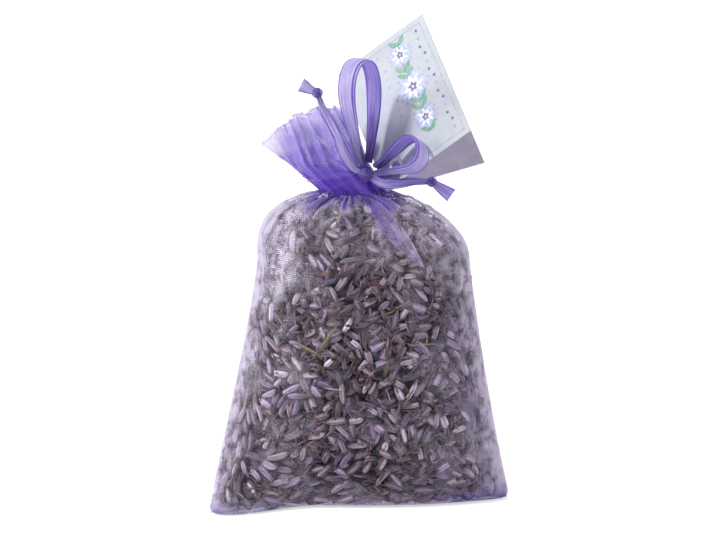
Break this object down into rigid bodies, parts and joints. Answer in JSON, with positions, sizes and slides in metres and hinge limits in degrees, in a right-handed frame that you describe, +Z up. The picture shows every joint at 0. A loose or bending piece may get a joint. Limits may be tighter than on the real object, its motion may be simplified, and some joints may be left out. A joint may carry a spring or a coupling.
{
  "type": "lavender sachet",
  "caption": "Gathered organza pouch of dried lavender standing on its base, closed by ribbon drawstrings tied in a bow, with a fanned frill and a folded card tag that swings and opens.",
  "frame": {"origin": "middle of the base, on the surface the pouch stands on", "axes": "+Z up, -Y towards the side with the bow, +X to the right seen from there"},
  "size_m": [0.1004, 0.0578, 0.162],
  "materials": {
    "organza": "sheer, fine open weave",
    "seam_cloth": "sheer, doubled",
    "thread": "matt sewing thread",
    "ribbon": "satin",
    "card": "smooth, lightly glossed",
    "dried_lavender": "loose dry buds, matt"
  },
  "bodies": {
    "pouch": {"front_panel": "organza", "back_panel": "organza", "front_casing": "organza", "back_casing": "organza", "casing_lining": "organza", "front_frill": "organza", "back_frill": "organza", "frill_corner_flap": "organza", "left_side_seam": "seam_cloth", "right_side_seam": "seam_cloth", "bottom_seam": "seam_cloth", "left_seam_thread": "thread", "right_seam_thread": "thread", "bottom_seam_thread": "thread", "casing_lower_thread": "thread", "casing_upper_thread": "thread", "left_drawstring_run": "ribbon", "right_drawstring_run": "ribbon", "left_drawstring_leg": "ribbon", "right_drawstring_leg": "ribbon", "bow_knot": "ribbon", "lavender_filling": "dried_lavender"},
    "upper_loop": {"upper_loop_outer_ribbon": "ribbon", "upper_loop_inner_ribbon": "ribbon"},
    "right_loop": {"right_loop_outer_ribbon": "ribbon", "right_loop_inner_ribbon": "ribbon"},
    "left_tail": {"left_tail_front_ribbon": "ribbon", "left_tail_back_ribbon": "ribbon", "left_tail_knot": "ribbon", "left_tail_front_end": "ribbon", "left_tail_back_end": "ribbon"},
    "right_tail": {"right_tail_front_ribbon": "ribbon", "right_tail_back_ribbon": "ribbon", "right_tail_knot": "ribbon", "right_tail_front_end": "ribbon", "right_tail_back_end": "ribbon"},
    "tag_back": {"tag_back_leaf": "card"},
    "tag_front": {"tag_front_leaf": "card"}
  },
  "joints": [
    {"name": "tag_swing", "type": "hinge", "parent": "pouch", "child": "tag_back", "pos_m": [0.0121, -0.002, 0.112], "axis": [0.0207, -0.727, 0.6863], "range_deg": [-13, 10]},
    {"name": "tag_fold", "type": "hinge", "parent": "tag_back", "child": "tag_front", "pos_m": [0.0092, -0.00712, 0.10667], "axis": [0.3335, -0.6421, -0.6903], "range_deg": [-34, 0], "stiffness_Nm_per_rad": 0.001},
    {"name": "upper_loop_flop", "type": "hinge", "parent": "pouch", "child": "upper_loop", "pos_m": [0.0022, -0.0073, 0.1124], "axis": [1, 0, 0], "range_deg": [0, 40], "stiffness_Nm_per_rad": 0.0006},
    {"name": "right_loop_flop", "type": "hinge", "parent": "pouch", "child": "right_loop", "pos_m": [0.0022, -0.0073, 0.1124], "axis": [0.4691, 0, -0.8832], "range_deg": [0, 35], "stiffness_Nm_per_rad": 0.0006},
    {"name": "left_tail_flop", "type": "hinge", "parent": "pouch", "child": "left_tail", "pos_m": [0.0022, -0.0073, 0.1124], "axis": [0.8645, 0, 0.5026], "range_deg": [0, 40], "stiffness_Nm_per_rad": 0.0006},
    {"name": "right_tail_flop", "type": "hinge", "parent": "pouch", "child": "right_tail", "pos_m": [0.0022, -0.0073, 0.1124], "axis": [-0.0698, 0.5985, -0.798], "range_deg": [0, 28], "stiffness_Nm_per_rad": 0.0006}
  ]
}
